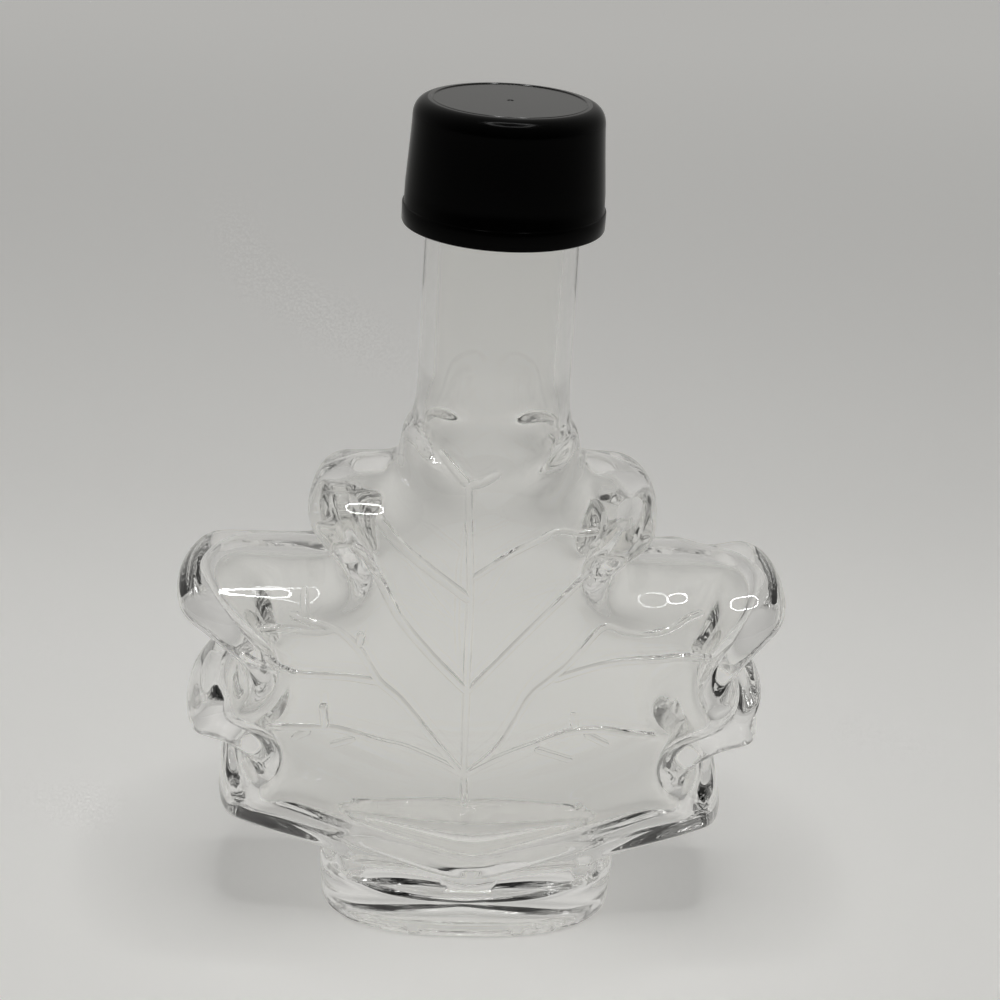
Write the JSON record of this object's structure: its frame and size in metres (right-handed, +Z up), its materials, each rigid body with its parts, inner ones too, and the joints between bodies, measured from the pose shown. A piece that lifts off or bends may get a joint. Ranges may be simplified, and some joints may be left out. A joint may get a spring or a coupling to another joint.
{
  "type": "leaf-shaped glass bottle",
  "caption": "Clear glass bottle in the shape of a maple leaf, empty, with a straight round neck, a thick oval foot and a black screw cap.",
  "frame": {"origin": "centre of the foot on the surface that the bottle stands on", "axes": "+Z up along the neck, -Y out of the leaf's front face, +X to the right as the front face is seen"},
  "size_m": [0.0983, 0.03, 0.1395],
  "materials": {
    "clear_glass": "clear moulded glass, smooth and glossy, slightly wavy, with fine raised leaf veins on the front face",
    "black_plastic": "moulded black plastic, semi-gloss skirt and a glossier round top"
  },
  "bodies": {
    "root": {"bottle": "clear_glass", "cap": "black_plastic"}
  },
  "joints": []
}
